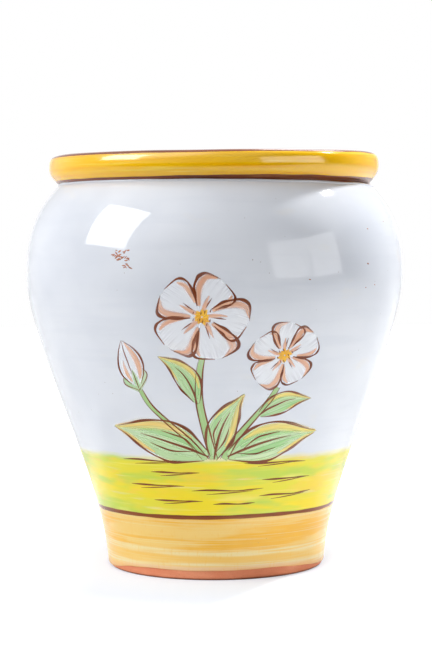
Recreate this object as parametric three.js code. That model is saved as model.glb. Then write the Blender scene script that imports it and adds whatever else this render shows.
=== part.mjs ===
// Glazed earthenware flower pot with a rolled rim.
// Three pieces of clay are luted together and fired: a base slab, a thrown wall and a rim roll.
// Each colour over them is a coat of its own, laid beside its neighbours. The inside is bare clay.
// Millimetres, +Z up, origin at the centre of the foot, on the surface that the pot stands on.
import * as THREE from "three";

// Heights of the outline, one above the other
const bodyHeight = 200.5; // foot to the widest line of the belly
const shoulderHeight = 61.5; // belly to the crease of the neck
const rimLowerHeight = 11; // crease to the widest line of the rim
const rimUpperHeight = 8.2; // widest line of the rim to its crest

// Radii of the glazed outside
const footRadius = 74.8;
const bellyRadius = 130;
const neckRadius = 106.8;

// Reach of the outline's tangents, which sets how full each curve is
const footLean = 2;
const footRise = 56;
const bellyDrop = 42;
const bellyRise = 15;
const neckReach = 31; // down and out at 45 degrees, into the shoulder

// Rolled rim
const rimOverhang = 6.7; // how far the roll stands out from the neck
const crestInset = 8.8; // widest line of the rim to its crest, inwards
const rimUnderReach = 5.5; // up and out at 45 degrees, from the crease
const rimLowerReach = 4.6;
const rimUpperReach = 6.5;
const crestReach = 7;
const lipDrop = 8; // crest to the upright face inside the mouth

// Clay
const wallThickness = 8;
const floorThickness = 10;
const filletRadius = 14; // inside, where the wall runs into the floor
const footBevel = 1.6;
const footRingWidth = 13;
const recessDepth = 2.5; // turned hollow inside the foot ring
const drainRadius = 9;

// Coats
const coatThickness = 0.6;
const coatGap = 0.3; // clearance under a coat, and between one coat and the next
const bareClayHeight = 6.7; // unglazed edge at the foot
const footBandHeight = 35.1;
const footLineWidth = 2.8;
const meadowBandHeight = 38;
const underLineWidth = 3.6; // along the outline, up from the crease
const crestLineWidth = 6.8; // along the outline, back from the crest
const lipGlazeDrop = 18; // crest to the end of the glaze inside the mouth

// Facets
const turnSteps = 48;
const footBandSteps = 3;
const meadowBandSteps = 3;
const bodySteps = 14;
const lineSteps = 1;
const crestLineSteps = 2;
const rimSteps = 7;
const lipSteps = 3;
const insideSteps = 12;
const filletSteps = 3;
const bisections = 40;

// Sizes that follow from those above
const coatBuild = coatThickness + coatGap;
const wallBuild = wallThickness + coatBuild;
const neckHeight = bodyHeight + shoulderHeight;
const rimWidestHeight = neckHeight + rimLowerHeight;
const crestHeight = rimWidestHeight + rimUpperHeight;
const rimRadius = neckRadius + rimOverhang;
const crestRadius = rimRadius - crestInset;
const clayNeckRadius = neckRadius - coatBuild;
const clayMouthRadius = neckRadius - wallBuild;
const lipRadius = clayMouthRadius - coatBuild;
const footBandTop = bareClayHeight + footBandHeight;
const footLineTop = footBandTop + footLineWidth;
const meadowBandTop = footLineTop + meadowBandHeight;
const diagonal = Math.SQRT1_2;

const point = (radius, height) => new THREE.Vector2(radius, height);

function joined(...curves) {
  const path = new THREE.CurvePath();
  curves.forEach((curve) => path.add(curve));
  return path;
}

// Outside of the pot, from the foot up to the crease under the rim
const outside = joined(
  new THREE.CubicBezierCurve(
    point(footRadius, 0),
    point(footRadius + footLean, footRise),
    point(bellyRadius, bodyHeight - bellyDrop),
    point(bellyRadius, bodyHeight),
  ),
  new THREE.CubicBezierCurve(
    point(bellyRadius, bodyHeight),
    point(bellyRadius, bodyHeight + bellyRise),
    point(neckRadius + neckReach * diagonal, neckHeight - neckReach * diagonal),
    point(neckRadius, neckHeight),
  ),
);

// Outside of the rim roll, from the crease over its widest line to the crest
const rimOutside = joined(
  new THREE.CubicBezierCurve(
    point(neckRadius, neckHeight),
    point(neckRadius + rimUnderReach * diagonal, neckHeight + rimUnderReach * diagonal),
    point(rimRadius, rimWidestHeight - rimLowerReach),
    point(rimRadius, rimWidestHeight),
  ),
  new THREE.CubicBezierCurve(
    point(rimRadius, rimWidestHeight),
    point(rimRadius, rimWidestHeight + rimUpperReach),
    point(crestRadius + crestReach, crestHeight),
    point(crestRadius, crestHeight),
  ),
);

// Inside of the lip, from the crest down to the end of its glaze
const lipInside = joined(
  new THREE.QuadraticBezierCurve(
    point(crestRadius, crestHeight),
    point(lipRadius, crestHeight),
    point(lipRadius, crestHeight - lipDrop),
  ),
  new THREE.LineCurve(point(lipRadius, crestHeight - lipDrop), point(lipRadius, crestHeight - lipGlazeDrop)),
);

// A station is a place on the glazed skin, with the normal that points away from the clay.
function stationAt(path, share) {
  const tangent = path.getTangent(share);
  return { place: path.getPoint(share), normal: point(tangent.y, -tangent.x) };
}

function stationsBetween(path, from, to, steps) {
  const shares = Array.from({ length: steps + 1 }, (_, i) => from + ((to - from) * i) / steps);
  return shares.map((share) => stationAt(path, share));
}

// Share of the outside's length at which it reaches a height
function shareAtHeight(height) {
  let low = 0;
  let high = 1;
  for (let i = 0; i < bisections; i++) {
    const middle = (low + high) / 2;
    if (outside.getPoint(middle).y < height) low = middle;
    else high = middle;
  }
  return (low + high) / 2;
}

const sunk = (stations, depth) =>
  stations.map(({ place, normal }) => place.clone().addScaledVector(normal, -depth));

// The point where the clay's outside passes a height near the foot
function clayEdgeAt(height) {
  const [edge] = sunk([stationAt(outside, shareAtHeight(height))], coatBuild);
  return point(edge.x, height);
}

// A ring turned from a closed outline about the pot's axis
function turned(outline) {
  const ring = THREE.ShapeUtils.area(outline) > 0 ? outline : [...outline].reverse();
  return new THREE.LatheGeometry([...ring, ring[0].clone()], turnSteps).rotateX(Math.PI / 2);
}

const pot = new THREE.Group();

function add(name, outline, color, roughness) {
  const material = new THREE.MeshStandardMaterial({ color, roughness, metalness: 0 });
  const mesh = new THREE.Mesh(turned(outline), material);
  mesh.name = name;
  pot.add(mesh);
}

const addClay = (name, outline) => add(name, outline, "#c8734f", 0.9);

// A coat of even thickness under a run of stations
const addCoat = (name, stations, color, roughness) =>
  add(name, [...sunk(stations, 0), ...sunk(stations, coatThickness).reverse()], color, roughness);

// Coats on the outside, from the bare clay edge up to the crease
const halfGap = coatGap / 2;
const outsideGapShare = coatGap / outside.getLength();
const bandBetween = (low, high, steps) =>
  stationsBetween(outside, shareAtHeight(low + halfGap), shareAtHeight(high - halfGap), steps);
const footBand = bandBetween(bareClayHeight, footBandTop, footBandSteps);
const footLine = bandBetween(footBandTop, footLineTop, lineSteps);
const meadowBand = bandBetween(footLineTop, meadowBandTop, meadowBandSteps);
const bodyStart = shareAtHeight(meadowBandTop + halfGap);
const body = stationsBetween(outside, bodyStart, 1 - outsideGapShare, bodySteps);

addCoat("foot_band_glaze", footBand, "#eeb95c", 0.2);
addCoat("foot_line", footLine, "#7a4a33", 0.25);
addCoat("meadow_band_glaze", meadowBand, "#dcd43f", 0.2);
addCoat("body_glaze", body, "#e3e7ee", 0.12);

// Coats on the rim roll, from the crease over the crest and into the mouth
const rimLength = rimOutside.getLength();
const rimGapShare = coatGap / rimLength;
const underLineEnd = underLineWidth / rimLength;
const crestLineStart = 1 - crestLineWidth / rimLength;
const underLine = stationsBetween(rimOutside, rimGapShare, underLineEnd, lineSteps);
const rim = stationsBetween(rimOutside, underLineEnd + rimGapShare, crestLineStart, rimSteps);
const crestLine = stationsBetween(rimOutside, crestLineStart + rimGapShare, 1, crestLineSteps);
const lip = stationsBetween(lipInside, coatGap / lipInside.getLength(), 1, lipSteps);

addCoat("rim_under_line", underLine, "#6d4334", 0.25);
addCoat("rim_glaze", rim, "#eab01f", 0.12);
addCoat("rim_crest_line", crestLine, "#7a4a33", 0.25);
addCoat("lip_glaze", lip, "#e3e7ee", 0.12);

// Clay of the foot, with a turned hollow underneath and a drain hole through the middle
const bevelTop = clayEdgeAt(footBevel);
const seamEdge = clayEdgeAt(floorThickness);
const footEdgeRadius = bevelTop.x - footBevel;
const recessRadius = footEdgeRadius - footRingWidth;

addClay("base_slab", [
  point(drainRadius, recessDepth),
  point(recessRadius, recessDepth),
  point(recessRadius, 0),
  point(footEdgeRadius, 0),
  bevelTop,
  seamEdge,
  point(drainRadius, floorThickness),
]);

// Clay of the wall, which stands on the slab and is smoothed into it inside
const filletTop = floorThickness + filletRadius;
const wallRun = [footBand, footLine, meadowBand, body].flatMap((run) => run.slice(1));
const wallOutside = sunk(wallRun.filter(({ place }) => place.y > floorThickness), coatBuild);
const wallInside = sunk(stationsBetween(outside, 1, shareAtHeight(filletTop), insideSteps), wallBuild);
const filletCentreRadius = wallInside.at(-1).x - filletRadius;
const fillet = new THREE.EllipseCurve(
  filletCentreRadius, filletTop, filletRadius, filletRadius, 0, -Math.PI / 2, true,
);

addClay("pot_wall", [
  seamEdge,
  ...wallOutside,
  point(clayNeckRadius, neckHeight),
  point(clayMouthRadius, neckHeight),
  ...wallInside,
  ...fillet.getPoints(filletSteps).slice(1, -1),
  point(filletCentreRadius, floorThickness),
]);

// Clay of the rim, rolled over on top of the wall
const rollOutside = sunk([...underLine, ...rim.slice(1), ...crestLine.slice(1)], coatBuild);

addClay("rim_roll", [
  point(clayMouthRadius, neckHeight),
  point(clayNeckRadius, neckHeight),
  ...rollOutside,
  ...sunk(lip, coatBuild),
]);

export default pot;
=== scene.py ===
import math
import random

import bpy
import numpy as np
from mathutils import Matrix, Quaternion, Vector


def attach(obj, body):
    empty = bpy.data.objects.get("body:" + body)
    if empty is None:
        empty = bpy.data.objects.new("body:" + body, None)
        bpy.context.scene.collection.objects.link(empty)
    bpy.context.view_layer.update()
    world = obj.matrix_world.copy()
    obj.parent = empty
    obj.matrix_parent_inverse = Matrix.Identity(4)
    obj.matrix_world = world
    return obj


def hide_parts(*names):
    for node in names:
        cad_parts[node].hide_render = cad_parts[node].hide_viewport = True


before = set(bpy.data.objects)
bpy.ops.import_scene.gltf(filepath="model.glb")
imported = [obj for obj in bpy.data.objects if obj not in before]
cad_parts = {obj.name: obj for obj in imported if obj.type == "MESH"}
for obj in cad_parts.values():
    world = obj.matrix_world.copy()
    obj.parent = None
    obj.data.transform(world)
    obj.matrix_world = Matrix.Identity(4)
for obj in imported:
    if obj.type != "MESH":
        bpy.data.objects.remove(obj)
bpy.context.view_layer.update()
print("frame loaded:", len(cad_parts), "solids")

mm = 0.001  # sizes below are in millimetres, Blender works in metres
fullTurn = 2 * math.pi
tiny = 1e-6  # keeps a division from zero
black = (0, 0, 0, 1)
pureWhite = (1, 1, 1, 1)


# Shader maths
class Wire:
    # one socket of a node tree; arithmetic on it adds Math nodes
    def __init__(self, finish, socket):
        self.finish = finish
        self.socket = socket

    def math(self, operation, first, second=0.0):
        return self.finish.node("ShaderNodeMath", {"operation": operation}, {0: first, 1: second})

    def __add__(self, other):
        return self.math("ADD", self, other)

    def __radd__(self, other):
        return self.math("ADD", other, self)

    def __sub__(self, other):
        return self.math("SUBTRACT", self, other)

    def __rsub__(self, other):
        return self.math("SUBTRACT", other, self)

    def __mul__(self, other):
        return self.math("MULTIPLY", self, other)

    def __rmul__(self, other):
        return self.math("MULTIPLY", other, self)

    def __lt__(self, other):
        return self.math("LESS_THAN", self, other)

    def __gt__(self, other):
        return self.math("GREATER_THAN", self, other)

    def __abs__(self):
        return self.math("ABSOLUTE", self)


class Finish:
    # a node tree and the few kinds of node that the finishes need
    shiftStep = (3.1, 7.7, 5.3)  # how far one step of shift moves a noise
    spotCore = 0.6  # share of a spot's radius that is full
    hairDraw = 40  # keeps the hairs of two strokes apart

    def __init__(self, tree):
        self.tree = tree

    def node(self, kind, settings, sockets, out=0):
        made = self.tree.nodes.new(kind)
        for name, value in settings.items():
            setattr(made, name, value)
        for name, value in sockets.items():
            self.feed(made.inputs[name], value)
        return Wire(self, made.outputs[out])

    def feed(self, socket, value):
        if isinstance(value, Wire):
            self.tree.links.new(value.socket, socket)
        else:
            socket.default_value = value

    def mix(self, first, second, factor):
        return self.node("ShaderNodeMix", {"data_type": "RGBA"}, {0: factor, 6: first, 7: second}, out=2)

    def ramp(self, value, low, high):
        sockets = {"Value": value, "From Min": low, "From Max": high}
        return self.node("ShaderNodeMapRange", {"interpolation_type": "SMOOTHSTEP"}, sockets)

    def attribute(self, name):
        return self.node("ShaderNodeAttribute", {"attribute_name": name}, {}, out="Fac")

    def axis(self, vector, name):
        return self.node("ShaderNodeSeparateXYZ", {}, {0: vector}, out=name)

    # the pot's own coordinates
    def place(self):
        return self.node("ShaderNodeTexCoord", {}, {}, out="Object")

    def height(self):
        return self.axis(self.place(), "Z") * (1 / mm)

    # those coordinates in grains of that size along each axis
    def grains(self, size, shift):
        scale = [1 / (mm * length) for length in size]
        moved = [shift * step for step in self.shiftStep]
        sockets = {0: self.place(), 1: scale, 2: moved}
        return self.node("ShaderNodeVectorMath", {"operation": "MULTIPLY_ADD"}, sockets)

    def noiseAt(self, place, detail=2.0):
        sockets = {"Vector": place, "Scale": 1.0, "Detail": detail}
        return self.node("ShaderNodeTexNoise", {}, sockets)

    def noise(self, size, shift, detail=2.0):
        return self.noiseAt(self.grains(size, shift), detail)

    # a noise that runs about zero
    def drift(self, size, shift, detail):
        return self.noise(size, shift, detail) - 0.5

    # patches of other tones over a colour: tone, grain size, shift, detail, start and full, cover
    def washes(self, colour, tones, washes, mask=1.0):
        for tone, size, shift, detail, run, cover in washes:
            patch = self.ramp(self.noise(size, shift, detail), *run)
            colour = self.mix(colour, tint(tones[tone]), patch * cover * mask)
        return colour

    # sparse round spots: cells of that size, spots of that radius, kept in a share of the cells
    def spots(self, size, radius, share, shift):
        sockets = {"Vector": self.grains((size, size, size), shift), "Scale": 1.0}
        far = self.node("ShaderNodeTexVoronoi", {}, sockets, out="Distance")
        draw = self.node("ShaderNodeTexVoronoi", {}, sockets, out="Color")
        kept = self.axis(draw, "X") < share
        edge = radius / size
        return (1 - self.ramp(far, edge * self.spotCore, edge)) * kept

    # brush hairs along a painted stroke, from the stroke's own coordinates
    def hairs(self, width, length):
        side = self.attribute("strokeSide") * (1 / width)
        run = self.attribute("strokeRun") * (1 / length)
        draw = self.attribute("strokeDraw") * self.hairDraw
        return self.noiseAt(self.node("ShaderNodeCombineXYZ", {}, {0: side, 1: run, 2: draw}))

    def bump(self, rise, depth):
        return self.node("ShaderNodeBump", {}, {"Strength": 1.0, "Distance": depth * mm, "Height": rise})


# a colour code in linear light
def tint(code):
    channels = [int(code[i:i + 2], 16) / 255 for i in (1, 3, 5)]
    linear = [c / 12.92 if c <= 0.04045 else ((c + 0.055) / 1.055) ** 2.4 for c in channels]
    return (*linear, 1.0)


def newFinish(name, **fixed):
    material = bpy.data.materials.new(name)
    material.use_nodes = True
    finish = Finish(material.node_tree)
    finish.material = material
    finish.shader = material.node_tree.nodes["Principled BSDF"].inputs
    for socket, value in fixed.items():
        finish.shader[socket].default_value = value
    return finish


# Outline of the glazed pot: radius and height of the curves' ends and of their pulls
outline = {
    "foot": (74.8, 0), "footPull": (76.8, 56),
    "bellyLowPull": (130, 158.5), "belly": (130, 200.5), "bellyHighPull": (130, 215.5),
    "neckPull": (128.72, 240.08), "neck": (106.8, 262),
    "rimUnderPull": (110.69, 265.89), "rimLowPull": (113.5, 268.4), "rim": (113.5, 273),
    "rimHighPull": (113.5, 279.5), "crestPull": (111.7, 281.2), "crest": (104.7, 281.2),
    "lipPull": (97, 281.2), "lip": (97, 273.2), "lipEnd": (97, 262),
}


def curve(*names):
    return [np.array(outline[name], float) for name in names]


def bezier(pulls, share):
    rows = [pull + 0 * share for pull in pulls]
    while len(rows) > 1:
        rows = [a + (b - a) * share for a, b in zip(rows, rows[1:])]
    return rows[0]


class Skin:
    # a run of outline curves, with its places and outward normals by length along it
    steps = 399  # along each curve

    def __init__(self, *curves):
        share = np.linspace(0, 1, self.steps + 1)[:, None]
        parts = [bezier(pulls, share) for pulls in curves]
        line = np.concatenate([parts[0]] + [part[1:] for part in parts[1:]])
        way = np.gradient(line, axis=0)
        way /= np.linalg.norm(way, axis=1)[:, None]
        step = np.linalg.norm(np.diff(line, axis=0), axis=1)
        self.line = line
        self.normal = np.stack([way[:, 1], -way[:, 0]], axis=1)
        self.length = np.concatenate([[0], np.cumsum(step)])
        self.ends = [self.length[(i + 1) * self.steps] for i in range(len(curves))]

    def at(self, length, offset):
        radius, height = (np.interp(length, self.length, column) for column in self.line.T)
        outward, upward = (np.interp(length, self.length, column) for column in self.normal.T)
        return radius + outward * offset, height + upward * offset

    def lengthAt(self, height):
        return np.interp(height, self.line[:, 1], self.length)


bodySkin = Skin(
    curve("foot", "footPull", "bellyLowPull", "belly"),
    curve("belly", "bellyHighPull", "neckPull", "neck"),
)
rimSkin = Skin(
    curve("neck", "rimUnderPull", "rimLowPull", "rim"),
    curve("rim", "rimHighPull", "crestPull", "crest"),
    curve("crest", "lipPull", "lip"),
    curve("lip", "lipEnd"),
)
neckSkin = Skin(
    curve("belly", "bellyHighPull", "neckPull", "neck"),
    curve("neck", "rimUnderPull", "rimLowPull", "rim"),
)
creaseLength = bodySkin.ends[-1]
crestLength, lipLength, lipEndLength = rimSkin.ends[1:]

# slow unevenness left by the potter's hands: turns round the pot, waves up it, phase, size
swayWaves = [
    (2, 0.010, 0.4, 0.10), (3, -0.021, 2.1, 0.08), (5, 0.034, 4.0, 0.06),
    (8, -0.052, 1.2, 0.06), (11, 0.071, 5.1, 0.035), (17, -0.12, 3.3, 0.014),
]


def sway(angle, height):
    total = 0
    for turns, wave, phase, size in swayWaves:
        total = total + size * np.sin(turns * angle + wave * height + phase)
    return total


# a smooth step from 0 at low to 1 at high
def between(value, low, high):
    share = np.clip((value - low) / (high - low), 0, 1)
    return share * share * (3 - 2 * share)


# the rim was set by hand: it dips at the front and stands highest at the right
rimSet = {"dip": -1.1, "sides": 2.0, "right": 0.7, "heights": (255, 281)}


def rimRise(angle, height):
    rise = rimSet["dip"] + rimSet["sides"] * np.sin(angle) ** 2 + rimSet["right"] * np.sin(angle)
    return rise * between(height, *rimSet["heights"])


waveFall = 0.7  # how much smaller the quick waves of a brushed edge are


# drift of a brushed edge round the pot, up to a size either way, in waves from the slowest to below a limit
def wander(angle, seed, size, slowest, limit):
    dice = random.Random(seed)
    drift = 0 * angle
    for turns in range(slowest, limit):
        swing = dice.uniform(-1, 1) / turns**waveFall
        drift = drift + swing * np.sin(turns * angle + dice.uniform(0, fullTurn))
    return size * drift / np.abs(drift).max()


# Mesh makers
def meshPiece(name, points, faces, values, corners, finish):
    mesh = bpy.data.meshes.new(name)
    mesh.from_pydata((points * mm).tolist(), [], faces)
    for key, numbers in values.items():
        layer = mesh.attributes.new(key, "FLOAT", "POINT")
        layer.data.foreach_set("value", np.ravel(numbers).astype(np.float32))
    unwrapped = mesh.uv_layers.new(name="OFBake")
    unwrapped.data.foreach_set("uv", np.ravel(corners).astype(np.float32))
    mesh.shade_smooth()
    mesh.materials.append(finish.material)
    piece = bpy.data.objects.new(name, mesh)
    bpy.context.scene.collection.objects.link(piece)
    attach(piece, "root")
    return piece


# a closed ring from rows of radius and height, one row for each point of its section
def ringPiece(name, radius, height, angle, values, finish):
    rows, turns = radius.shape
    height = height + rimRise(angle, height)
    x = radius * np.sin(angle)
    y = -radius * np.cos(angle)
    points = np.stack([x, y, height], axis=-1).reshape(-1, 3)
    grids = np.meshgrid(np.arange(rows), np.arange(turns), indexing="ij")
    row, turn = (grid.ravel() for grid in grids)
    nextTurn = (turn + 1) % turns
    near = row * turns
    far = (row + 1) % rows * turns
    faces = np.stack([near + turn, near + nextTurn, far + nextTurn, far + turn], axis=1)
    across = np.stack([turn, turn + 1, turn + 1, turn], axis=1) / turns
    up = np.stack([row, row, row + 1, row + 1], axis=1) / rows
    return meshPiece(name, points, faces.tolist(), values, np.stack([across, up], axis=-1), finish)


coatForm = {"depth": 0.6, "edgeShares": [0, 0.12, 0.35, 0.65], "leastBackRows": 3, "backThinning": 3}


# a coat of glaze: a thin closed ring on a skin, from one edge to the other, both given at each turn
def coatPiece(name, node, slot, skin, angle, low, high, finish, rows, proud=0.0, edge=0.7, sink=0.1):
    steps = edge * np.array(coatForm["edgeShares"])[:, None]
    width = high - low
    middle = edge + np.linspace(0, 1, rows)[:, None] * (width - 2 * edge)
    run = np.concatenate([steps + 0 * low, middle, width - steps[::-1] + 0 * low])
    toEdge = np.minimum(np.minimum(run, width - run) / edge, 1)
    lift = proud - (proud + sink) * (1 - toEdge) ** 2
    backRows = max(coatForm["leastBackRows"], rows // coatForm["backThinning"])
    back = np.linspace(1, 0, backRows)[:, None] * width
    run = np.concatenate([run, back])
    lift = np.concatenate([lift, back * 0 - coatForm["depth"]])
    length = low + run
    height = skin.at(length, 0)[1]
    radius, height = skin.at(length, lift + sway(angle, height))
    values = {"climb": length, "bandShare": run / width}
    piece = ringPiece(name, radius, height, angle, values, finish)
    if node:
        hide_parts(node)


def turnsOf(count):
    return np.arange(count) * fullTurn / count


# White tin glaze
whiteGlaze = {
    "colour": "#dfe3eb", "cloud": "#d5dae4", "warm": "#e3e0da", "pit": "#7d6a5c",
    "washes": [
        ("cloud", (75, 75, 75), 1, 3, (0.35, 0.72), 1.0),
        ("cloud", (90, 90, 7), 8, 3, (0.45, 0.75), 0.5),
        ("warm", (38, 38, 16), 2, 4, (0.62, 0.85), 0.5),
    ],
    "pits": (5.0, 0.32, 0.16, 3), "pitCover": 0.8, "roughness": 0.04,
    "turns": 288, "lowHeight": 85, "creaseGap": 0.15, "coat": {"rows": 120},
}


def whiteColour(finish):
    colour = finish.washes(tint(whiteGlaze["colour"]), whiteGlaze, whiteGlaze["washes"])
    pits = finish.spots(*whiteGlaze["pits"])
    return finish.mix(colour, tint(whiteGlaze["pit"]), pits * whiteGlaze["pitCover"]), pits


# gloss of every glaze: a slightly wavy surface, smoother where it lay thick
gloss = {
    # swell, ripple, marks of turning and peel: grain size, shift, detail and height
    "waves": [
        ((24, 24, 24), 4, 1, 2.2), ((9, 9, 9), 9, 1, 0.6),
        ((150, 150, 8), 7, 2, 0.3), ((3.2, 3.2, 3.2), 5, 1, 0.06),
    ],
    "depth": 0.035, "thin": ((30, 30, 12), 6), "thinDull": 0.05, "pitDull": 0.3,
}


def glazeSurface(finish, roughness, pits=0.0):
    rise = 0.0
    for size, shift, detail, height in gloss["waves"]:
        rise = rise + finish.noise(size, shift, detail) * height
    finish.feed(finish.shader["Normal"], finish.bump(rise - pits, gloss["depth"]))
    dull = gloss["thinDull"] * finish.noise(*gloss["thin"]) + gloss["pitDull"] * pits
    finish.feed(finish.shader["Roughness"], roughness + dull)


def whiteFinish():
    finish = newFinish("white tin glaze", IOR=1.5)
    colour, pits = whiteColour(finish)
    finish.feed(finish.shader["Base Color"], colour)
    glazeSurface(finish, whiteGlaze["roughness"], pits)
    return finish


# Meadow band: washes of yellow, green and gold laid with a broad brush
meadow = {
    "yellow": "#ecd724", "green": "#b2d050", "lime": "#dcd83e", "gold": "#f6c650", "pale": "#f6ea80",
    "washes": [
        ("lime", (80, 80, 20), 12, 3, (0.40, 0.56), 0.8),
        ("gold", (62, 62, 13), 14, 3, (0.52, 0.66), 0.4),
        ("green", (66, 66, 13), 13, 3, (0.48, 0.64), 0.8),
        ("yellow", (46, 46, 9), 15, 3, (0.52, 0.66), 0.8),
        ("pale", (60, 60, 10), 11, 3, (0.56, 0.70), 0.4),
        ("gold", (34, 34, 5), 19, 3, (0.60, 0.72), 0.4),
        ("pale", (50, 50, 1.6), 16, 2, (0.58, 0.78), 0.3),
    ],
    "thin": ((42, 42, 4), 18, 3), "thinRun": (0.6, 0.8), "thinCover": 0.3,
    "edge": ((26, 26, 3), 17, 3), "edgeDrift": 5.2, "edgeHeights": (79.2, 85.2), "roughness": 0.06,
    "turns": 288, "highHeight": 89, "underLine": 0.3,
    "coat": {"rows": 40, "proud": 0.03, "edge": 1.5, "sink": 0.02},
}


def meadowFinish():
    finish = newFinish("meadow wash", IOR=1.6)
    bare, pits = whiteColour(finish)
    colour = finish.washes(tint(meadow["yellow"]), meadow, meadow["washes"])
    thin = finish.ramp(finish.noise(*meadow["thin"]), *meadow["thinRun"])
    colour = finish.mix(colour, bare, thin * meadow["thinCover"])
    height = finish.height() + finish.drift(*meadow["edge"]) * meadow["edgeDrift"]
    over = finish.ramp(height, *meadow["edgeHeights"])
    finish.feed(finish.shader["Base Color"], finish.mix(colour, bare, over))
    glazeSurface(finish, meadow["roughness"], pits)
    return finish


# Ochre foot band, streaked by a stiff brush held against the turning pot
ochre = {
    "colour": "#ecc876", "deep": "#ebb33f", "pale": "#ead9a4", "cream": "#e8ddb2",
    "pink": "#e5ab88", "speck": "#8f6232",
    "streakDrift": ((90, 90, 12), 21, 2), "streakRise": 7, "deepHeights": (15, 24), "deepLeast": 0.3,
    "deepWashes": [
        ("deep", (58, 58, 9), 24, 3, (0.36, 0.58), 1.0),
        ("deep", (110, 110, 3.4), 22, 3, (0.50, 0.66), 0.7),
    ],
    "paleWashes": [("pale", (80, 80, 0.8), 23, 2, (0.50, 0.74), 0.5)],
    # runs under the brown line, two thirds of the way down and along the foot: middle, reach, cover, tone
    "runs": [(40.4, 1.4, 0.5, "pale"), (18.4, 3.0, 0.9, "pale"), (9.2, 3.4, 0.75, "cream")],
    "runCore": 0.35, "runGrain": (60, 60, 1.1), "runTorn": (0.3, 0.6),
    "pinkDrift": ((110, 110, 3.4), 22, 3), "pinkRise": 0.1, "pinkShares": (0.02, 0.12), "pinkCover": 0.5,
    "crackle": [("deep", (1.3, 1.3, 9), 25, 2, (0.55, 0.75), 0.25)],
    "specks": (5.0, 0.3, 0.22, 26), "speckCover": 0.7, "roughness": 0.12,
    "turns": 288, "lowHeight": 6.8, "drift": (5, 0.5, 2, 26), "overLine": 0.4,
    "sideDrop": 4.3, "leftDrop": 0.8, "sides": (32, 78), "back": (105, 135),
    "coat": {"rows": 34, "proud": 0.02, "edge": 1.0, "sink": 0.25},
}


def ochreFinish():
    finish = newFinish("ochre wash", IOR=1.5)
    height = finish.height() + finish.drift(*ochre["streakDrift"]) * ochre["streakRise"]
    least = ochre["deepLeast"]
    above = finish.ramp(height, *ochre["deepHeights"]) * (1 - least) + least
    colour = finish.washes(tint(ochre["colour"]), ochre, ochre["deepWashes"], above)
    colour = finish.washes(colour, ochre, ochre["paleWashes"])
    for middle, reach, cover, tone in ochre["runs"]:
        near = 1 - finish.ramp(abs(height - middle), reach * ochre["runCore"], reach)
        torn = finish.ramp(finish.noise(ochre["runGrain"], middle), *ochre["runTorn"])
        colour = finish.mix(colour, tint(ochre[tone]), near * torn * cover)
    # the clay shows pink through the thin lower edge
    share = finish.attribute("bandShare") + finish.drift(*ochre["pinkDrift"]) * ochre["pinkRise"]
    pink = 1 - finish.ramp(share, *ochre["pinkShares"])
    colour = finish.mix(colour, tint(ochre["pink"]), pink * ochre["pinkCover"])
    colour = finish.washes(colour, ochre, ochre["crackle"])
    specks = finish.spots(*ochre["specks"])
    colour = finish.mix(colour, tint(ochre["speck"]), specks * ochre["speckCover"])
    finish.feed(finish.shader["Base Color"], colour)
    glazeSurface(finish, ochre["roughness"], specks)
    return finish


# Yellow rim, white where it meets the brown line under it
rim = {
    "colour": "#ffc60c", "deep": "#ffba08", "light": "#ffd94a", "speck": "#8a5a1c",
    "streakGrain": (70, 70, 70), "streakShift": 31, "streakClimb": 0.4, "streakDetail": 3,
    "deepRun": (0.48, 0.7), "lightRun": (0.28, 0.42), "lightCover": 0.7,
    "specks": (4.0, 0.3, 0.2, 32), "speckCover": 0.7, "roughness": 0.10,
    "turns": 288, "lowLength": 0.15, "whiteLengths": (2.0, 2.5), "crestGap": 3.0, "coat": {"rows": 40},
}


def rimFinish():
    finish = newFinish("yellow rim glaze", IOR=1.75)
    climb = finish.attribute("climb")
    grains = finish.grains(rim["streakGrain"], rim["streakShift"])
    sockets = {0: finish.axis(grains, "X"), 1: finish.axis(grains, "Y"), 2: climb * rim["streakClimb"]}
    streak = finish.noiseAt(finish.node("ShaderNodeCombineXYZ", {}, sockets), rim["streakDetail"])
    colour = finish.mix(tint(rim["colour"]), tint(rim["deep"]), finish.ramp(streak, *rim["deepRun"]))
    light = 1 - finish.ramp(streak, *rim["lightRun"])
    colour = finish.mix(colour, tint(rim["light"]), light * rim["lightCover"])
    specks = finish.spots(*rim["specks"])
    colour = finish.mix(colour, tint(rim["speck"]), specks * rim["speckCover"])
    yellow = finish.ramp(climb, *rim["whiteLengths"])
    colour = finish.mix(tint(whiteGlaze["colour"]), colour, yellow)
    finish.feed(finish.shader["Base Color"], colour)
    glazeSurface(finish, rim["roughness"])
    return finish


# Brown brushed lines
brownLine = {
    "colour": "#844420", "thin": "#a46a40", "thick": "#683418", "roughness": 0.12,
    "load": ((45, 45, 2.2), 41, 3), "thickRun": (0.5, 0.7), "thinRun": (0.3, 0.45), "thinCover": 0.7,
    "edgeRun": (0.72, 1.0), "edgeCover": 0.6, "turns": 288, "coat": {"proud": 0.07, "edge": 0.5},
}


def lineFinish():
    finish = newFinish("brown line glaze", IOR=1.5)
    toEdge = abs(finish.attribute("bandShare") - 0.5) * 2
    load = finish.noise(*brownLine["load"])
    thick = finish.ramp(load, *brownLine["thickRun"])
    colour = finish.mix(tint(brownLine["colour"]), tint(brownLine["thick"]), thick)
    thin = 1 - finish.ramp(load, *brownLine["thinRun"])
    colour = finish.mix(colour, tint(brownLine["thin"]), thin * brownLine["thinCover"])
    edge = finish.ramp(toEdge, *brownLine["edgeRun"])
    colour = finish.mix(colour, tint(brownLine["thin"]), edge * brownLine["edgeCover"])
    finish.feed(finish.shader["Base Color"], colour)
    glazeSurface(finish, brownLine["roughness"])
    return finish


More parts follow.
